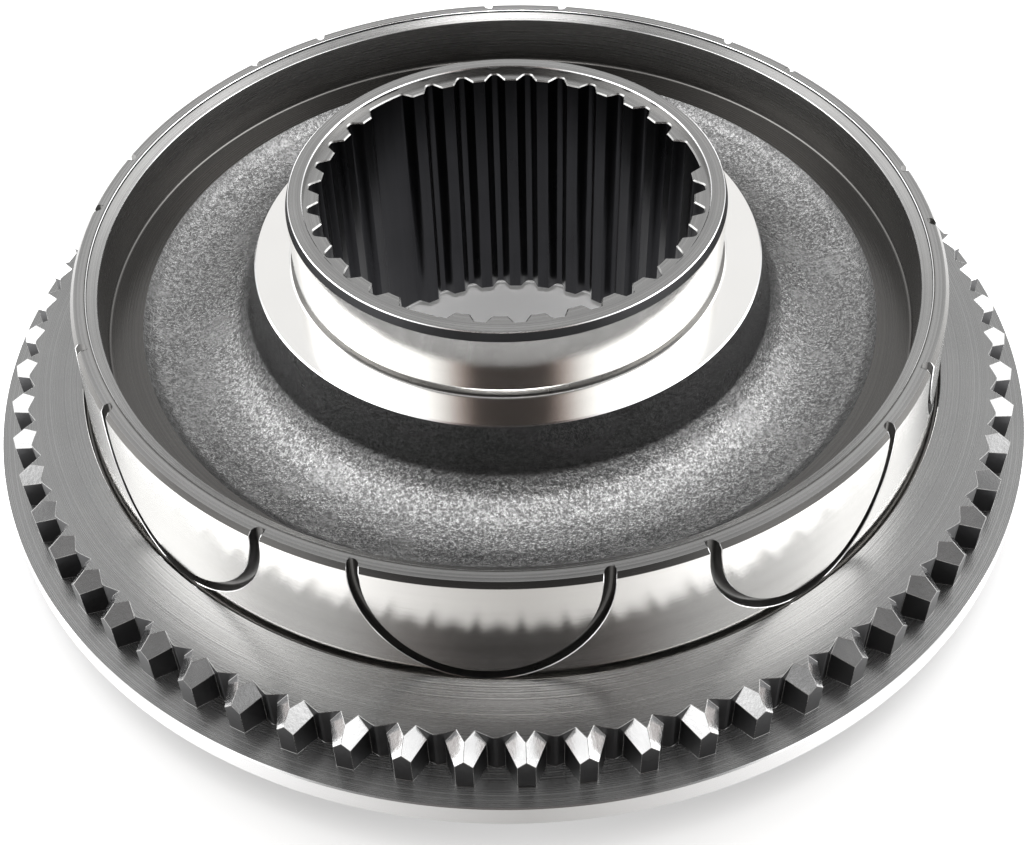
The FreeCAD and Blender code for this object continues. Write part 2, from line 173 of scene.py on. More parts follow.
class Skin:
    def __init__(self):
        self.points, self.faces, self.finish, self.crisp = [], [], [], set()

    def rows(self, rows, finish, closed=False, crisp_rows=(), crisp_ends=False):
        """Quads between rows of points. finish is one number or one for each strip of quads."""
        start, width = len(self.points), len(rows[0])
        for row in rows:
            self.points.extend(row)
        strips = [finish] * (len(rows) - 1) if isinstance(finish, int) else finish
        for level, kind in enumerate(strips):
            for step in range(width if closed else width - 1):
                after = (step + 1) % width
                low, high = start + level * width, start + (level + 1) * width
                self.faces.append((low + step, low + after, high + after, high + step))
                self.finish.append(kind)
        for level in crisp_rows:
            low = start + level * width
            for step in range(width if closed else width - 1):
                self.crisp.add((low + step, low + (step + 1) % width))
        if crisp_ends:
            for step in (0, width - 1):
                for level in range(len(rows) - 1):
                    self.crisp.add((start + level * width + step, start + (level + 1) * width + step))

    def face(self, spots, finish):
        start = len(self.points)
        self.points.extend(spots)
        self.faces.append(tuple(range(start, start + len(spots))))
        self.finish.append(finish)

    def mesh(self, name):
        mesh = bpy.data.meshes.new(name)
        mesh.from_pydata([tuple(v * MM for v in spot) for spot in self.points], [], self.faces)
        mesh.polygons.foreach_set("material_index", self.finish)
        mesh.polygons.foreach_set("use_smooth", [True] * len(self.faces))
        mark = mesh.attributes.new("sharp_edge", "BOOLEAN", "EDGE")
        crisp = {tuple(sorted(pair)) for pair in self.crisp}
        mark.data.foreach_set("value", [tuple(sorted(e.vertices)) in crisp for e in mesh.edges])
        for finish in FINISHES:
            mesh.materials.append(bpy.data.materials.get("steel_" + finish)
                                  or bpy.data.materials.new("steel_" + finish))
        return mesh


def place(name, mesh):
    piece = bpy.data.objects.new(name, mesh)
    bpy.context.scene.collection.objects.link(piece)
    return piece


def soften(corners):
    """Profile points from corners (radius, height, finish after it, edge break, arc steps)."""
    spots = []
    count = len(corners)
    for index, (radius, height, finish, edge, steps) in enumerate(corners):
        here = Vector((radius, height))
        if not edge or index in (0, count - 1):
            spots.append((here, finish, True))
            continue
        back = (Vector(corners[index - 1][:2]) - here).normalized()
        ahead = (Vector(corners[index + 1][:2]) - here).normalized()
        half = back.angle(ahead) / 2
        if steps == 1:
            spots.append((here + back * edge, EDGE, True))
            spots.append((here + ahead * edge, finish, True))
            continue
        reach = edge / math.tan(half)
        centre = here + (back + ahead).normalized() * edge / math.sin(half)
        first, last = here + back * reach - centre, here + ahead * reach - centre
        total = first.angle_signed(last)
        for step in range(steps + 1):
            turned = Matrix.Rotation(-total * step / steps, 2) @ first
            spots.append((centre + turned, finish, False))
    return spots


def lathe(skin, corners):
    """Turns a profile round the axis."""
    rows, kinds, crisp = [], [], []
    for level, (spot, finish, sharp) in enumerate(soften(corners)):
        ring = []
        for step in range(LATHE_STEPS):
            turn = LATHE_START + 2 * math.pi * step / LATHE_STEPS
            ring.append((spot.x * math.cos(turn), spot.x * math.sin(turn), spot.y))
        rows.append(ring)
        kinds.append(finish)
        if sharp:
            crisp.append(level)
    skin.rows(rows, kinds[:-1], closed=True, crisp_rows=crisp)


def add_node(tree, kind, settings, sockets):
    """Adds a node: its settings first, then the values or links of its sockets."""
    made = tree.nodes.new(kind)
    for key, setting in settings.items():
        setattr(made, key, setting)
    for key, given in sockets.items():
        if isinstance(given, bpy.types.NodeSocket):
            tree.links.new(given, made.inputs[key])
        else:
            made.inputs[key].default_value = given
    return made


# The repeated shapes are made once by mesh code and set round the axis by Geometry Nodes.

def ring_tree(name, count, phase, finishes, skip=(), other=None):
    """Node tree that sets its mesh round the axis; positions in skip take the other mesh."""
    tree = bpy.data.node_groups.new(name, "GeometryNodeTree")
    face = tree.interface
    face.new_socket("Geometry", in_out="INPUT", socket_type="NodeSocketGeometry")
    fields = {}
    for label, kind, default in (("Count", "NodeSocketInt", count), ("Phase", "NodeSocketFloat", phase),
                                 ("Weld", "NodeSocketFloat", WELD)):
        socket = face.new_socket(label, in_out="INPUT", socket_type=kind)
        socket.default_value = default
        fields[label] = socket.identifier
    face.new_socket("Geometry", in_out="OUTPUT", socket_type="NodeSocketGeometry")

    def node(kind, settings, sockets):
        return add_node(tree, kind, settings, sockets).outputs[0]

    inputs = tree.nodes.new("NodeGroupInput").outputs
    points = node("GeometryNodePoints", {}, {"Count": inputs["Count"]})
    index = node("GeometryNodeInputIndex", {}, {})
    share = node("ShaderNodeMath", {"operation": "DIVIDE"}, {0: index, 1: inputs["Count"]})
    angle = node("ShaderNodeMath", {"operation": "MULTIPLY_ADD"},
                 {0: share, 1: -2 * math.pi, 2: inputs["Phase"]})
    turn = node("ShaderNodeCombineXYZ", {}, {"Z": angle})
    chosen = node("FunctionNodeInputBool", {"boolean": False}, {})
    for position in skip:
        equal = node("FunctionNodeCompare", {"data_type": "INT", "operation": "EQUAL"},
                     {2: index, 3: position})
        chosen = node("FunctionNodeBooleanMath", {"operation": "OR"}, {0: chosen, 1: equal})
    kept = node("FunctionNodeBooleanMath", {"operation": "NOT"}, {0: chosen})
    whole = node("GeometryNodeInstanceOnPoints", {},
                 {"Points": points, "Selection": kept, "Instance": inputs["Geometry"], "Rotation": turn})
    if other:
        blank = add_node(tree, "GeometryNodeObjectInfo", {}, {"Object": other})
        fill = node("GeometryNodeInstanceOnPoints", {},
                    {"Points": points, "Selection": chosen, "Instance": blank.outputs["Geometry"],
                     "Rotation": turn})
        joined = tree.nodes.new("GeometryNodeJoinGeometry")
        tree.links.new(whole, joined.inputs[0])
        tree.links.new(fill, joined.inputs[0])
        whole = joined.outputs[0]
    whole = node("GeometryNodeRealizeInstances", {}, {"Geometry": whole})
    whole = node("GeometryNodeMergeByDistance", {}, {"Geometry": whole, "Distance": inputs["Weld"]})
    for finish in finishes:
        steel = bpy.data.materials["steel_" + FINISHES[finish]]
        of_finish = node("GeometryNodeMaterialSelection", {}, {0: steel})
        whole = node("GeometryNodeSetMaterial", {},
                     {"Geometry": whole, "Selection": of_finish, "Material": steel})
    add_node(tree, "NodeGroupOutput", {}, {0: whole})
    return tree, fields


def settle(piece):
    """Turns the result of the piece's modifiers into its plain mesh."""
    graph = bpy.context.evaluated_depsgraph_get()
    mesh = bpy.data.meshes.new_from_object(piece.evaluated_get(graph))
    piece.modifiers.clear()
    piece.data = mesh


def set_round(piece, count, phase, finishes, skip=(), other=None):
    """Replaces the piece's mesh by copies of it set round the axis."""
    tree, fields = ring_tree(piece.name + "_round", count, phase, finishes, skip, other)
    modifier = piece.modifiers.new("round", "NODES")
    modifier.node_group = tree
    for label, value in (("Count", count), ("Phase", phase), ("Weld", WELD)):
        modifier[fields[label]] = value
    settle(piece)


def cone_foot(cone):
    """Radius of the cone at its low edge, where its skin meets the relief."""
    slope = (cone.foot_radius - cone.top_radius) / (cone.top - cone.plate)
    return cone.foot_radius + (cone.plate - cone.low) * slope


def mm(group, *names):
    """The group's sizes of these names, in millimetres."""
    return [getattr(group, name) / MM for name in names]


class RING_OT_turned_body(bpy.types.Operator):
    """Turn the hub, dish, rim bore, flange and underside"""
    bl_idname = "ring.turned_body"
    bl_label = "Turned Body"

    def execute(self, context):
        scene = context.scene
        flange, flange_low, hub_top, recess, journal, journal_top, journal_foot = mm(
            scene.ring_body, "flange", "flange_bottom", "hub_top", "counterbore", "journal",
            "journal_top", "journal_foot")
        shoulder, shoulder_top, dish, bay, rim_bore, relief, relief_floor, hollow, foot = mm(
            scene.ring_body, "shoulder", "shoulder_top", "dish_bottom", "bay_floor", "rim_bore", "relief",
            "relief_floor", "hollow", "hub_foot")
        inner, outer, plate, flange_top = mm(
            scene.ring_teeth, "inner_circle", "outer_circle", "top", "floor")
        face, spline_low, spline_high = mm(scene.ring_spline, "face_radius", "low", "high")
        land, rim, cone_low = mm(scene.ring_cone, "land", "rim", "low")
        cone = cone_foot(scene.ring_cone) / MM
        web_outside, web_inside = 31.6, 27.4        # heights of the web's underside
        skin = Skin()
        # relief at the cone foot and the plate up to the teeth
        lathe(skin, [
            (cone + 0.01, cone_low - 0.1, GROUND, 0, 1),
            # painted shade: the relief's floor and outer wall take the darker bay tone
            (cone + 0.06, relief_floor, BAY, 0.35, 4),
            (relief, relief_floor, BAY, 0.35, 4),
            (relief, plate, PLATE, 0.1, 1),
            (inner, plate, PLATE, 0, 1),
        ])
        # flange, hollow with its web, and lower hub end
        lathe(skin, [
            (outer, flange_top, PLATE, 0, 1),
            # painted light: the flange's outer side takes the bright edge tone, far lighter than the plate
            (flange, flange_top, EDGE, 0.3, 1),
            (flange, flange_low, PLATE, 0.3, 1),
            (hollow, flange_low, WEB, 0.4, 1),
            (hollow - 0.9, web_outside, WEB, 4, 6),
            (84.5, web_outside, WEB, 9, 4),
            (77, web_inside, WEB, 9, 4),
            (foot + 1.2, web_inside, WEB, 4, 6),
            (foot, 1.5, TURNED, 0.1, 1),
            (foot - 1.5, 0, TURNED, 0.1, 1),
            (recess, 0, TURNED, 0.3, 1),
            (recess, spline_low, TURNED, 0, 1),
            (face + SEAM, spline_low, TURNED, 0, 1),
        ])
        # hub top, journal with undercut, shoulder, neck, dish, bay floor and rim bore
        lathe(skin, [
            (face + SEAM, spline_high, TURNED, 0, 1),
            (recess, spline_high, TURNED, 0, 1),
            (recess, hub_top, TURNED, 0.2, 1),
            (journal - 0.7, hub_top, FLANK, 0.15, 1),
            (journal, journal_top, GROUND, 0, 1),
            (journal, journal_foot, GROUND, 0, 1),
            # painted shade: the journal undercut takes the dark groove tone
            (journal - 0.3, shoulder_top - 0.4, GROOVE, 0, 1),
            (journal + 0.6, shoulder_top - 0.14, EDGE, 0, 1),
            (journal + 1.1, shoulder_top, GROUND, 0, 1),
            (shoulder, shoulder_top, FORGED, 0.25, 1),
            (shoulder + 3, 42.8, FORGED, 2.5, 4),
            (65.2, 39.3, FORGED, 6, 4),
            (70.5, dish, FORGED, 9, 4),
            (77.5, dish, FORGED, 14, 4),
            (84.6, dish + 2.5, FORGED, 4, 4),
            # painted shade: the bay floor and the rim bore take the darker bay tone
            (86.9, bay, BAY, 0, 1),
            (rim_bore, bay, BAY, 0.7, 5),
            (rim_bore, rim - 1.9, TURNED, 0.1, 1),
            (rim_bore + 2.1, rim - 0.6, DARK, 0, 1),
            (rim_bore + 2.2, rim, BAY, 0.12, 1),
            (land - SEAM * 2, rim, TURNED, 0, 1),
        ])
        place("turned_body", skin.mesh("turned_body"))
        return {"FINISHED"}


class RING_OT_dog_teeth(bpy.types.Operator):
    """Cut the pointed dog teeth"""
    bl_idname = "ring.dog_teeth"
    bl_label = "Dog Teeth"

    def execute(self, context):
        size = context.scene.ring_teeth
        tip, tip_half, root, root_half, back, roof_back, ridge, floor, top, inner, outer = mm(
            size, "tip_radius", "tip_half", "root_radius", "root_half", "gap_back", "roof_back",
            "ridge_start", "floor", "top", "inner_circle", "outer_circle")
        fall = math.tan(size.ridge_slope)
        side = math.tan(size.roof_slope) / math.cos(size.ridge_slope)
        half = math.pi / size.count
        facet, crown = 0.1973, 0.0744   # the plate edge is blunted in the middle of a gap

        def roof(x, y):
            return top - (y - ridge) * fall - x * side

        def on_circle(radius, share):
            return radius * math.sin(half * share), radius * math.cos(half * share)

        bend = (root - roof_back) / root_half
        notch_x = (ridge - roof_back) / (bend + side / fall)
        notch = (notch_x, roof_back + bend * notch_x)
        corner, tip_corner = (root_half, root), (tip_half, math.sqrt(tip ** 2 - tip_half ** 2))
        peak = on_circle(back, 1)
        near_peak = (peak[0] + (corner[0] - peak[0]) * facet,
                     peak[1] + (corner[1] - peak[1]) * facet + crown)
        shares = [step / 3 for step in range(4)]
        inner_row = [on_circle(inner, share) for share in shares]
        outer_row = [on_circle(outer, share) for share in shares]
        middle = (0, tip)
        eave, tip_eave, ridge_end = ((*spot, roof(*spot)) for spot in (corner, tip_corner, middle))
        skin = Skin()

        def flat(spots, z):
            return [(x, y, z) for x, y in spots]

        for hand in (1, -1):
            def put(spots, finish):
                skin.face([(hand * x, y, z) for x, y, z in spots][::hand], finish)

            # plate top with its tongue, in strips from the inner circle
            put(flat([inner_row[0], inner_row[1], notch, (0, ridge)], top), PLATE)
            put(flat([inner_row[1], inner_row[2], corner, notch], top), PLATE)
            put(flat([inner_row[2], inner_row[3], peak, near_peak, corner], top), PLATE)
            # back walls over the roof and in the gap, in the near-black flank tone, which is painted shade
            put([*flat([notch, corner], top), eave], FLANK)
            put([*flat([corner, near_peak], top), *flat([near_peak, corner], floor), eave], FLANK)
            put([*flat([near_peak, peak], top), *flat([peak, near_peak], floor)], FLANK)
            # roof, then flank and tip in the near-black flank tone, which is painted shade
            put([*flat([(0, ridge), notch], top), eave, tip_eave, ridge_end], CUT)
            put([eave, *flat([corner, tip_corner], floor), tip_eave], FLANK)
            put([tip_eave, *flat([tip_corner, middle], floor), ridge_end], FLANK)
            # gap floor, in strips to the outer circle
            put(flat([middle, tip_corner, outer_row[1], outer_row[0]], floor), PLATE)
            put(flat([tip_corner, corner, near_peak, outer_row[2], outer_row[1]], floor), PLATE)
            put(flat([near_peak, peak, outer_row[3], outer_row[2]], floor), PLATE)
        piece = place("dog_teeth", skin.mesh("dog_teeth"))
        set_round(piece, size.count, math.pi, (PLATE, FLANK, CUT))
        edges = piece.modifiers.new("edges", "BEVEL")
        edges.width = size.edge
        edges.segments = 1
        edges.limit_method = "ANGLE"
        edges.angle_limit = math.radians(25)
        edges.use_clamp_overlap = True
        edges.material = TURNED
        settle(piece)
        piece.data.polygons.foreach_set("use_smooth", [True] * len(piece.data.polygons))
        piece.data.set_sharp_from_angle(angle=math.radians(12))
        return {"FINISHED"}


class RING_OT_spline(bpy.types.Operator):
    """Broach the internal spline, with three teeth left out"""
    bl_idname = "ring.spline"
    bl_label = "Spline"

    def execute(self, context):
        size = context.scene.ring_spline
        tip, root, opening, bottom, low, high, face, edge = mm(
            size, "tip_radius", "root_radius", "opening", "bottom", "low", "high", "face_radius", "edge")
        half = math.pi / size.positions

        def from_space(x, y):
            """A point beside the space's middle line, seen from the tooth's middle line."""
            return (math.sin(half) * y - math.cos(half) * x, math.cos(half) * y + math.sin(half) * x)

        def profile():
            """From the middle of a tooth's tip over its edge and flank to the middle of the root."""
            tip_break, tip_corner, flank_start, flank_end = 0.15, 0.2, 1.2, 0.45
            flank_in, flank_out = Vector((opening / 2, tip)), Vector((bottom / 2, root))
            line = (flank_out - flank_in).normalized()
            tip_half = half - math.asin((opening / 2 + tip_break) / tip)
            spots = [(tip * math.sin(tip_half * share), tip * math.cos(tip_half * share))
                     for share in (0, 1 / 3, 2 / 3, 1)]
            flank = (flank_in + line * tip_corner, flank_in + line * flank_start,
                     flank_out - line * flank_end)
            rounding = ((bottom / 2 - 0.12, root - 0.08), (bottom / 2 - 0.4, root), (0, root))
            return spots + [from_space(*spot) for spot in (*flank, *rounding)]

        right = profile()
        outline = [(-x, y) for x, y in right[:0:-1]] + right

        def grown(spots, amount):
            """The outline moved outwards, with its ends kept on the sector's borders."""
            grown_spots = []
            for index, (x, y) in enumerate(spots):
                before = spots[max(index - 1, 0)]
                after = spots[min(index + 1, len(spots) - 1)]
                tangent = Vector((after[0] - before[0], after[1] - before[1])).normalized()
                normal = Vector((-tangent.y, tangent.x))
                if normal.y < 0:
                    normal = -normal
                grown_spots.append((x + normal.x * amount, y + normal.y * amount))
            for index, turn in ((0, half), (-1, -half)):
                radius = math.hypot(*grown_spots[index])
                grown_spots[index] = (-radius * math.sin(turn), radius * math.cos(turn))
            return grown_spots

        def sector(spots, name):
            """One position of the spline with its chamfers and end faces."""
            wide = grown(spots, edge)
            rim = [(face * x / math.hypot(x, y), face * y / math.hypot(x, y)) for x, y in spots]
            skin = Skin()
            levels = ((rim, high), (wide, high), (spots, high - edge), (spots, low + edge),
                      (wide, low), (rim, low))
            # painted shade: the spline's walls take the very dark tone deep in the bore
            skin.rows([[(x, y, z) for x, y in row] for row, z in levels],
                      [TURNED, TURNED, DARK, TURNED, TURNED], crisp_rows=(1, 2, 3, 4))
            return place(name, skin.mesh(name))

        columns = [math.atan2(x, y) for x, y in outline]
        piece = sector(outline, "spline")
        blank = sector([(root * math.sin(turn), root * math.cos(turn)) for turn in columns], "spline_blank")
        set_round(piece, size.positions, size.phase - half, (TURNED, DARK), tuple(size.missing), blank)
        bpy.data.objects.remove(blank)
        piece.data.set_sharp_from_angle(angle=math.radians(25))
        return {"FINISHED"}


class RING_OT_friction_cone(bpy.types.Operator):
    """Grind the cone and mill its curved oil grooves"""
    bl_idname = "ring.friction_cone"
    bl_label = "Friction Cone"

    def execute(self, context):
        size = context.scene.ring_cone
        foot, head, plate, top, rim, chamfer, low, land, radius, centre, width, depth, flare = mm(
            size, "foot_radius", "top_radius", "plate", "top", "rim", "chamfer", "low", "land",
            "groove_radius", "groove_height", "groove_width", "groove_depth", "flare")
        slope = (foot - head) / (top - plate)
        half_width, sector = width / 2, math.pi / size.grooves

        def cone(z):
            return foot - (z - plate) * slope

        def skin_radius(z):
            return cone(z) if z <= top else head - chamfer * (z - top) / (rim - top)

        def spot(x, z, deep=0.0):
            """Point at the sideways place x (seen along the groove's own axis) and height z."""
            surface = skin_radius(z) - deep
            return (x, math.sqrt(surface ** 2 - x ** 2), z)

        def at_turn(turn, z):
            surface = skin_radius(z)
            return (surface * math.sin(turn), surface * math.cos(turn), z)

        skin = Skin()
        bow_steps, levels, bow_levels, span_steps, arc_steps = 40, 6, 4, 8, 10
        turns = [math.pi * (step / bow_steps - 0.5) for step in range(bow_steps + 1)]
        outer, inner = radius + half_width + flare, radius - half_width - flare

        def under(turn, share):
            """Point between the low edge and the groove's outer edge, below or beside its bow."""
            edge_z = centre - outer * math.cos(turn)
            return spot(outer * math.sin(turn), low + (edge_z - low) * share)

        skin.rows([[under(turn, level / levels) for turn in turns] for level in range(levels + 1)],
                  GROUND, crisp_rows=(levels,))
        # inside the groove's bow
        bow = []
        for turn in turns:
            x = inner * math.sin(turn)
            edge_z = centre - inner * math.cos(turn)
            column = [spot(x, edge_z + (centre - edge_z) * level / bow_levels)
                      for level in range(bow_levels + 1)]
            bow.append(column + [spot(x, top), spot(x, rim)])
        bow_rows = [list(row) for row in zip(*bow)]
        skin.rows(bow_rows[:-1], GROUND, crisp_rows=(0, bow_levels + 1))
        # painted shade: the chamfer at the cone's top takes the darker bay tone
        skin.rows(bow_rows[-2:], BAY, crisp_rows=(0, 1))
        # between this groove and the next one
        start = math.asin(outer / cone(centre))
        spans = [start + (sector - start) * step / span_steps for step in range(span_steps + 1)]

        def between(z, hand):
            """Points at height z from this groove's edge to the sector's border."""
            row = [spot(outer, z)] + [at_turn(turn, z) for turn in spans[1:]]
            return [(hand * x, y, z) for x, y, z in row]

        heights = [low + (centre - low) * level / levels for level in range(levels + 1)] + [top, rim]
        for hand in (1, -1):
            rows = [between(z, hand)[::hand] for z in heights]
            skin.rows(rows[:-1], GROUND, crisp_rows=(levels + 1,))
            # painted shade: here too the chamfer at the cone's top takes the darker bay tone
            skin.rows(rows[-2:], BAY, crisp_rows=(0, 1))

        # the groove itself: flare, walls and round bottom, swept round the bow and up its legs
        section = [(-half_width - flare, 0.0), (-half_width, flare)]
        for step in range(arc_steps + 1):
            turn = math.pi * step / arc_steps
            section.append((-half_width * math.cos(turn),
                            depth - half_width + half_width * math.sin(turn)))
        section += [(half_width, flare), (half_width + flare, 0.0)]
        stations = [(-1, rim), (-1, top)] + list(turns) + [(1, top), (1, rim)]
        rows = []
        for station in stations:
            row = []
            for across, deep in section:
                if isinstance(station, tuple):
                    hand, z = station
                    x = hand * (radius + across)
                    reach = min(skin_radius(z), cone(z) - deep) if deep else skin_radius(z)
                    row.append((x, math.sqrt(reach ** 2 - x ** 2), z))
                else:
                    swing = radius + across
                    row.append(spot(swing * math.sin(station), centre - swing * math.cos(station), deep))
            rows.append(row)
        last = len(section) - 1
        columns = [list(column) for column in zip(*rows)]
        # painted shade: the groove's walls and bottom take the dark groove tone
        skin.rows(columns, [EDGE] + [GROOVE] * (last - 2) + [EDGE], crisp_rows=(0, 1, last - 1, last))

        # top land: strips from its inner circle to the rim chamfer and round the groove mouths
        def land_row(edge_row):
            """Evenly spaced points on the land's inner circle beside an edge."""
            first, final = (math.atan2(edge_row[end][0], edge_row[end][1]) for end in (0, -1))
            count = len(edge_row) - 1
            turns = [first + (final - first) * index / count for index in range(count + 1)]
            return [(land * math.sin(turn), land * math.cos(turn), rim) for turn in turns]

        for edge_row in (rows[0], rows[-1], between(rim, 1), between(rim, -1), bow_rows[-1]):
            skin.rows([land_row(edge_row), edge_row], TURNED, crisp_rows=(1,))
        piece = place("friction_cone", skin.mesh("friction_cone"))
        set_round(piece, size.grooves, math.pi + size.phase, (GROUND, BAY, EDGE, GROOVE, TURNED))
        return {"FINISHED"}


def border(mesh, radius, height):
    """Open border vertices on a circle, in order round the axis."""
    ring = set()
    for edge in mesh.edges:
        if edge.is_boundary:
            for vertex in edge.verts:
                away = math.hypot(math.hypot(vertex.co.x, vertex.co.y) - radius, vertex.co.z - height)
                if away < WELD * 10:
                    ring.add(vertex)
    if not ring:
        raise RuntimeError("no open border at radius %.4f" % radius)
    return sorted(ring, key=lambda vertex: math.atan2(vertex.co.y, vertex.co.x))


def stitch(mesh, first, second, finish):
    """Closes the narrow gap between two rings that have different numbers of points."""
    def turn(ring, step):
        vertex = ring[step % len(ring)]
        return math.atan2(vertex.co.y, vertex.co.x) + 2 * math.pi * (step // len(ring))

    here, there = 0, 0
    while here < len(first) or there < len(second):
        a, b = first[here % len(first)], second[there % len(second)]
        if there >= len(second) or (here < len(first) and turn(first, here + 1) < turn(second, there + 1)):
            here += 1
            corners = (a, first[here % len(first)], b)
        else:
            there += 1
            corners = (a, second[there % len(second)], b)
        face = mesh.faces.new(corners)
        face.material_index = finish


class RING_OT_assemble(bpy.types.Operator):
    """Join the skins to one closed ring and hand it to the frame"""
    bl_idname = "ring.assemble"
    bl_label = "Assemble"

    def execute(self, context):
        joined = bmesh.new()
        for name in ("turned_body", "dog_teeth", "spline", "friction_cone"):
            part = bpy.data.objects[name]
            joined.from_mesh(part.data)
            if name == "turned_body":
                materials = list(part.data.materials)
            bpy.data.objects.remove(part)
        bmesh.ops.remove_doubles(joined, verts=joined.verts, dist=WELD)
        spline, cone, seam = context.scene.ring_spline, context.scene.ring_cone, SEAM * MM
        foot = cone_foot(cone)
        seams = [
            ((spline.face_radius, spline.high), (spline.face_radius + seam, spline.high), TURNED),
            ((spline.face_radius, spline.low), (spline.face_radius + seam, spline.low), TURNED),
            ((cone.land, cone.rim), (cone.land - seam * 2, cone.rim), TURNED),
            ((foot, cone.low), (foot + 0.01 * MM, cone.low - 0.1 * MM), GROUND),
        ]
        for first, second, finish in seams:
            stitch(joined, border(joined, *first), border(joined, *second), finish)
        if any(edge.is_boundary for edge in joined.edges):
            raise RuntimeError("the ring's skin is not closed")
        for face in joined.faces:
            face.smooth = True
        bmesh.ops.recalc_face_normals(joined, faces=joined.faces)
        mesh = bpy.data.meshes.new("ring")
        joined.to_mesh(mesh)
        joined.free()
        for material in materials:
            mesh.materials.append(material)
        piece = place("ring", mesh)
        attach(piece, "root")
        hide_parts(NODE)
        return {"FINISHED"}


# Materials: shader maths is written as expressions on wires.

class Wire:
    """A socket of a material's node tree; arithmetic on wires adds Math nodes."""

    def __init__(self, paint, socket):
        self.paint, self.socket = paint, socket

    def _do(self, operation, first, second):
        return self.paint.node("ShaderNodeMath", {"operation": operation}, {0: first, 1: second})

    def __add__(self, other):
        return self._do("ADD", self, other)

    __radd__ = __add__

    def __mul__(self, other):
        return self._do("MULTIPLY", self, other)

    __rmul__ = __mul__

    def __sub__(self, other):
        return self._do("SUBTRACT", self, other)

    def __rsub__(self, other):
        return self._do("SUBTRACT", other, self)

    def __neg__(self):
        return self._do("MULTIPLY", self, -1)

    def __abs__(self):
        return self.paint.node("ShaderNodeMath", {"operation": "ABSOLUTE"}, {0: self})


class Paint:
    """A node tree under construction and the one method that adds its nodes."""

    def __init__(self, owner):
        owner.use_nodes = True
        self.tree = owner.node_tree
        self.tree.nodes.clear()

    def node(self, kind, settings, sockets, output=0):
        given = {key: entry.socket if isinstance(entry, Wire) else entry for key, entry in sockets.items()}
        made = add_node(self.tree, kind, settings, given)
        return Wire(self, made.outputs[output]) if made.outputs else None

    def place(self):
        """Place on the object."""
        return self.node("ShaderNodeTexCoord", {}, {}, output=3)

    def direction(self):
        """Direction of a ray that meets the world."""
        return self.node("ShaderNodeTexCoord", {}, {}, output=0)

    def light_path(self, kind):
        made = self.node("ShaderNodeLightPath", {}, {})
        return Wire(self, made.socket.node.outputs[kind])

    def split(self, vector):
        first = self.node("ShaderNodeSeparateXYZ", {}, {0: vector})
        return [Wire(self, socket) for socket in first.socket.node.outputs]

    def radius(self, vector):
        flat = self.node("ShaderNodeVectorMath", {"operation": "MULTIPLY"}, {0: vector, 1: (1, 1, 0)})
        return self.node("ShaderNodeVectorMath", {"operation": "LENGTH"}, {0: flat}, output=1)

    def stretched(self, vector, scale):
        return self.node("ShaderNodeMapping", {}, {"Vector": vector, "Scale": scale})

    def noise(self, vector, scale, detail=4, rough=0.55):
        return self.node("ShaderNodeTexNoise", {}, {"Vector": vector, "Scale": scale, "Detail": detail,
                                                    "Roughness": rough})

    def rings(self, track, scale, detail=3):
        return self.node("ShaderNodeTexNoise", {"noise_dimensions": "1D"},
                         {"W": track, "Scale": scale, "Detail": detail, "Roughness": 0.7})

    def rise(self, wire, low, high):
        """0 below low, 1 above high, smooth between them."""
        return self.node("ShaderNodeMapRange", {"interpolation_type": "SMOOTHSTEP"},
                         {"Value": wire, "From Min": low, "From Max": high})

    def fade(self, wire, low, high):
        """1 below low, 0 above high, smooth between them."""
        return 1 - self.rise(wire, low, high)

    def blend(self, factor, first, second):
        return self.node("ShaderNodeMix", {"data_type": "RGBA"}, {0: factor, 6: first, 7: second}, output=2)

    def steel(self, colour, shade, tones, roughness, relief, strength, depth):
        """Metal: a colour between its darkest and brightest tone, a roughness and a relief."""
        darkest, brightest = tones
        tone = self.blend(shade, rgba(colour, darkest), rgba(colour, brightest))
        bump = self.node("ShaderNodeBump", {}, {"Strength": strength, "Distance": depth, "Height": relief})
        shader = self.node("ShaderNodeBsdfPrincipled", {}, {"Base Color": tone, "Metallic": 1.0,
                                                            "Roughness": roughness, "Normal": bump})
        self.node("ShaderNodeOutputMaterial", {}, {"Surface": shader})


def rgba(colour, factor=1.0):
    return (*(min(share * factor, 1) for share in colour), 1.0)


def paint_ground(material, colour):
    """Ground steel: mirror bright, with hardly visible grinding lines round the axis."""
    paint = Paint(material)
    spot = paint.place()
    streak = paint.noise(paint.stretched(spot, (14, 14, 7600)), scale=1, detail=3)
    band = paint.noise(paint.stretched(spot, (9, 9, 620)), scale=1, detail=3)
    cloud = paint.noise(spot, scale=38)
    shade = streak * 0.3 + band * 0.35 + cloud * 0.35
    paint.steel(colour, shade, tones=(0.86, 1.06), roughness=0.1 + 0.07 * shade,
                relief=streak, strength=0.05, depth=0.0002)


def paint_turned(material, colour, lines, contrast, roughness, strength):
    """Turned steel: satin, with fine concentric tool lines."""
    paint = Paint(material)
    spot = paint.place()
    track = paint.radius(spot) + paint.split(spot)[2]
    fine = paint.rings(track, scale=lines)
    broad = paint.rings(track, scale=380)
    cloud = paint.noise(spot, scale=45)
    shade = fine * 0.55 + broad * 0.2 + cloud * 0.25
    paint.steel(colour, shade, tones=(1 - contrast, 1 + contrast), roughness=roughness + 0.14 * shade,
                relief=fine, strength=strength, depth=0.0003)


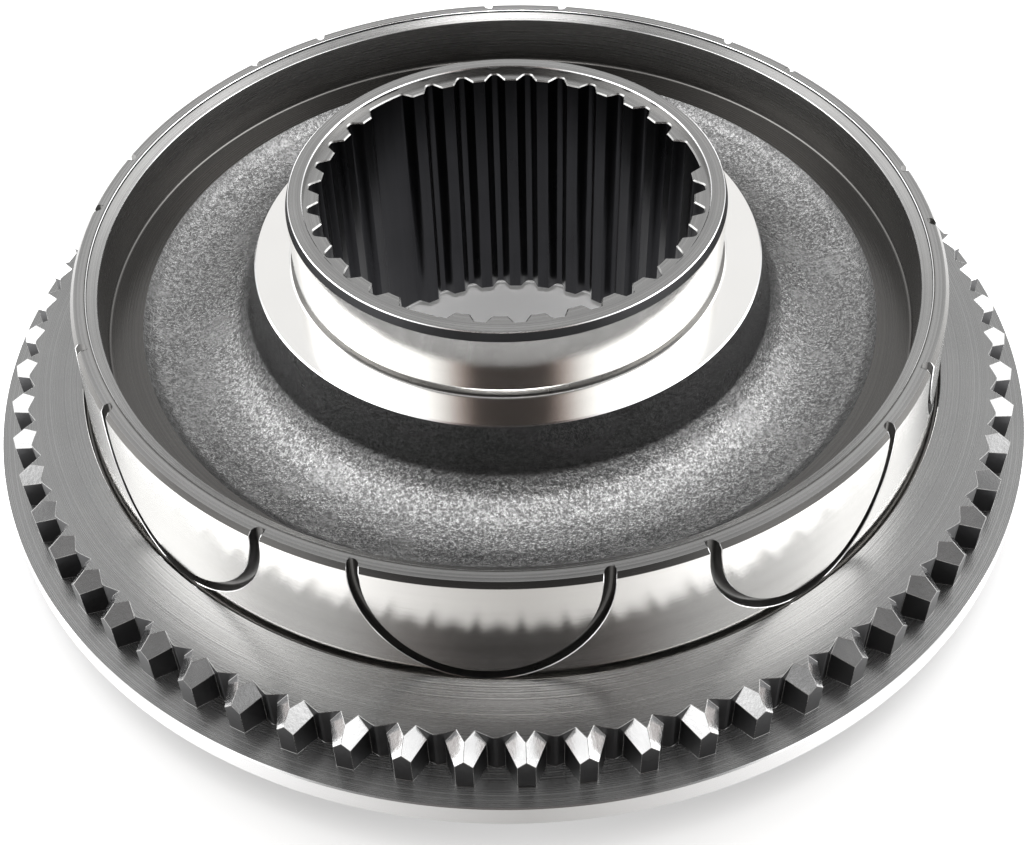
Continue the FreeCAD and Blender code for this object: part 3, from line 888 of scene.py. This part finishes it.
def paint_forged(material, colour):
    """Forged and shot blasted steel: fine grain with bright peaks over soft lumps, and painted shade on the
    steep neck wall.
    """
    paint = Paint(material)
    spot = paint.place()
    grain = paint.noise(spot, scale=2100, rough=0.7)
    lump = paint.noise(spot, scale=950, detail=3, rough=0.6)
    cloud = paint.noise(spot, scale=60)
    speck = paint.rise(grain * 0.65 + lump * 0.35, low=0.39, high=0.62)
    # painted shade: from 38.5 mm up to 44 mm the steep neck wall darkens to 30 per cent of its tone
    neck_shade = paint.rise(paint.split(spot)[2], low=0.0385, high=0.044)
    shade = (speck * 0.7 + cloud * 0.3) * (1 - neck_shade * 0.7)
    paint.steel(colour, shade, tones=(0.25, 1.95), roughness=0.2 + 0.12 * cloud,
                relief=grain * 0.5 + lump * 0.6, strength=0.8, depth=0.0005)


def paint_dark(material, colour):
    """Very dark steel in the spline, the oil grooves and on the lead-in; in the spline and the grooves the
    dark tone is painted shade.
    """
    paint = Paint(material)
    spot = paint.place()
    streak = paint.noise(paint.stretched(spot, (600, 600, 30)), scale=1, detail=3)
    cloud = paint.noise(spot, scale=70, detail=3)
    shade = streak * 0.5 + cloud * 0.5
    paint.steel(colour, shade, tones=(0.6, 1.6), roughness=0.22 + 0.14 * shade,
                relief=streak, strength=0.15, depth=0.0002)


def paint_cut(material, colour, roughness):
    """Milled faces of the dog teeth."""
    paint = Paint(material)
    spot = paint.place()
    grain = paint.noise(spot, scale=1400, detail=3)
    cloud = paint.noise(spot, scale=120, detail=3)
    paint.steel(colour, cloud, tones=(0.78, 1.18), roughness=roughness + 0.12 * cloud,
                relief=grain, strength=0.12, depth=0.0002)


class RING_OT_steel(bpy.types.Operator):
    """Mix the finishes of the steel"""
    bl_idname = "ring.steel"
    bl_label = "Steel Finishes"

    def execute(self, context):
        colours = context.scene.ring_colours
        made = {finish: bpy.data.materials.new("steel_" + finish) for finish in FINISHES}
        paint_ground(made["ground"], colours.ground)
        for finish, colour, lines, contrast, roughness, strength in (
                ("turned", colours.turned, 1500, 0.6, 0.2, 0.1),
                ("plate", colours.plate, 2800, 0.4, 0.2, 0.1),
                # painted shade: the bay is a darker copy of the turned steel
                ("bay", colours.bay, 1800, 0.4, 0.2, 0.08),
                ("edge", colours.cut, 3600, 0.1, 0.1, 0.03)):
            paint_turned(made[finish], colour, lines, contrast, roughness, strength)
        paint_forged(made["forged"], colours.forged)
        paint_forged(made["web"], colours.forged)
        # painted shade: the spline and the oil grooves take these very dark tones
        paint_dark(made["dark"], colours.dark)
        paint_dark(made["groove"], colours.groove)
        paint_cut(made["cut"], colours.cut, roughness=0.12)
        # painted shade: the flanks are a near-black copy of the cut steel
        paint_cut(made["flank"], colours.flank, roughness=0.3)
        return {"FINISHED"}


def panel_lamp(name, spot, size, power):
    """A rectangular light that faces the ring's middle."""
    lamp = bpy.data.lights.new(name, "AREA")
    lamp.shape, lamp.energy = "RECTANGLE", power
    lamp.size, lamp.size_y = size
    holder = place(name, lamp)
    holder.location = spot
    middle = Vector((0, 0, 0.03))
    holder.rotation_euler = (middle - Vector(spot)).to_track_quat("-Z", "Y").to_euler()


def paint_floor(material):
    """White floor that keeps the ring's shadow; the metal mirrors it greyer towards the front, painted
    shade, and dimmer close round the ring, a painted shadow.
    """
    paint = Paint(material)
    spot = paint.place()
    across, along = paint.split(spot)[:2]
    radius = paint.radius(spot)
    front = paint.rise(-along - abs(across) * 0.9, low=-0.05, high=0.16)
    away = paint.rise(radius, low=0.12, high=0.22)
    # painted shadow: close round the ring, the glow that the metal mirrors is dimmer
    ring_shadow = paint.fade(radius, low=0.138, high=0.152)
    # painted shade: the floor's colour turns grey towards the front; the camera's glow makes up for it, so
    # only reflections show it
    white, shade_grey = (0.8, 0.8, 0.8, 1), (0.3, 0.293, 0.285, 1)
    diffuse = paint.node("ShaderNodeBsdfDiffuse", {}, {"Color": paint.blend(front, white, shade_grey)})
    strength = paint.light_path("Is Camera Ray") * (0.08 + away * 0.5 + front * 0.45) \
        + paint.light_path("Is Glossy Ray") * (1.25 - front * 1.15) * (1 - ring_shadow * 0.35)
    glow = paint.node("ShaderNodeEmission", {}, {"Color": (1, 1, 1, 1), "Strength": strength})
    both = paint.node("ShaderNodeAddShader", {}, {0: diffuse, 1: glow})
    paint.node("ShaderNodeOutputMaterial", {}, {"Surface": both})


def paint_world(world):
    """Bright walls all round, a light overhead, and the dark place where the camera stands."""
    paint = Paint(world)
    side, ahead, up = paint.split(paint.direction())
    width = abs(side)
    lean_up, lean_ahead = 0.985, 0.174      # the light overhead leans 10 degrees to the front
    stand_height = 0.71                     # the camera stands 45 degrees up
    wall = paint.fade(up - width * 0.5, low=0.64, high=0.82)
    overhead = paint.rise(up * lean_up - ahead * lean_ahead, low=0.977, high=0.993)
    front = paint.rise(-ahead, low=0.2, high=0.5)
    stand = paint.fade(width, low=0.22, high=0.46) * front \
        * paint.fade(abs(up - stand_height), low=0.14, high=0.3)
    front_low = paint.fade(up, low=0.5, high=0.62) * paint.rise(up, low=0.05, high=0.2) \
        * paint.fade(width, low=0.5, high=0.8) * front
    flanks = paint.rise(width, low=0.35, high=0.7) * paint.rise(up, low=0.2, high=0.5)
    light = (0.27 + wall * 0.78 + overhead * 4.5 + flanks * 1.5) \
        * (1 - stand * 0.965) * (1 - front_low * 0.82)
    tone = paint.blend(stand, (1, 1, 1, 1), (1, 0.72, 0.62, 1))
    studio = paint.node("ShaderNodeBackground", {}, {"Color": tone, "Strength": light})
    white = paint.node("ShaderNodeBackground", {}, {"Color": (1, 1, 1, 1), "Strength": 1.0})
    mixed = paint.node("ShaderNodeMixShader", {},
                       {0: paint.light_path("Is Camera Ray"), 1: studio, 2: white})
    paint.node("ShaderNodeOutputWorld", {}, {"Surface": mixed})


class RING_OT_stage(bpy.types.Operator):
    """Set the floor, the light, the world and the camera"""
    bl_idname = "ring.stage"
    bl_label = "Stage"

    def execute(self, context):
        scene = context.scene
        scene.view_settings.view_transform = "Standard"
        # floor
        skin = Skin()
        reach = 4000
        skin.face([(-reach, -reach, 0), (reach, -reach, 0), (reach, reach, 0), (-reach, reach, 0)], 0)
        mesh = skin.mesh("floor")
        mesh.materials.clear()
        white = bpy.data.materials.new("floor_white")
        paint_floor(white)
        mesh.materials.append(white)
        floor = place("floor", mesh)
        for name, spot, size, power in (
                ("left_panel", (-0.62, 0.07, 0.44), (0.45, 0.8), 2.6),
                ("right_panel", (0.62, 0.07, 0.44), (0.45, 0.8), 2.6),
                ("top_panel", (0.0, -0.13, 0.84), (0.3, 0.12), 0.9)):
            panel_lamp(name, spot, size, power)
        scene.world = bpy.data.worlds.new("studio")
        paint_world(scene.world)
        # camera, with the size, the centre of view and the focal length of the picture in pixels
        width, height, centre_x, centre_y, focal, sensor = 1024, 845, 502.5, 350.1, 1472, 36
        rise, roll, far = math.radians(44.62), math.radians(-1.88), 0.37025
        target = Vector((-0.00198, 0, 0.0185))
        ahead = Vector((0, math.cos(rise), -math.sin(rise)))
        right, up = Vector((1, 0, 0)), Vector((0, math.sin(rise), math.cos(rise)))
        side = math.cos(roll) * right + math.sin(roll) * up
        over = -math.sin(roll) * right + math.cos(roll) * up
        camera = bpy.data.cameras.new("camera")
        camera.sensor_width, camera.lens = sensor, focal * sensor / width
        camera.shift_x, camera.shift_y = (width / 2 - centre_x) / width, (centre_y - height / 2) / width
        camera.clip_start, camera.clip_end = 0.01, 50
        eye = place("camera", camera)
        turned = Matrix((side, over, -ahead)).transposed().to_4x4()
        eye.matrix_world = Matrix.Translation(target - ahead * far) @ turned
        scene.camera = eye
        return {"FINISHED"}


STEPS = ("steel", "turned_body", "dog_teeth", "spline", "friction_cone", "assemble", "stage")


class RING_PT_panel(bpy.types.Panel):
    """Lists the ring's sizes and the steps that build it"""
    bl_idname = "RING_PT_panel"
    bl_label = "Synchronizer Ring"
    bl_space_type = "VIEW_3D"
    bl_region_type = "UI"
    bl_category = "Ring"

    def draw(self, context):
        for step in STEPS:
            self.layout.operator("ring." + step)
        for group in GROUPS:
            box = self.layout.box()
            settings = getattr(context.scene, group)
            for name in settings.bl_rna.properties.keys():
                if name not in ("rna_type", "name"):
                    box.prop(settings, name)


GROUPS = {"ring_body": BodySizes, "ring_teeth": ToothSizes, "ring_spline": SplineSizes,
          "ring_cone": ConeSizes, "ring_colours": SteelColours}
CLASSES = (*GROUPS.values(), RING_OT_steel, RING_OT_turned_body, RING_OT_dog_teeth, RING_OT_spline,
           RING_OT_friction_cone, RING_OT_assemble, RING_OT_stage, RING_PT_panel)


def register():
    for item in CLASSES:
        bpy.utils.register_class(item)
    for name, group in GROUPS.items():
        setattr(bpy.types.Scene, name, bpy.props.PointerProperty(type=group))


def unregister():
    for name in GROUPS:
        delattr(bpy.types.Scene, name)
    for item in reversed(CLASSES):
        bpy.utils.unregister_class(item)


def main():
    register()
    for step in STEPS:
        getattr(bpy.ops.ring, step)()


if __name__ == "__main__":
    main()
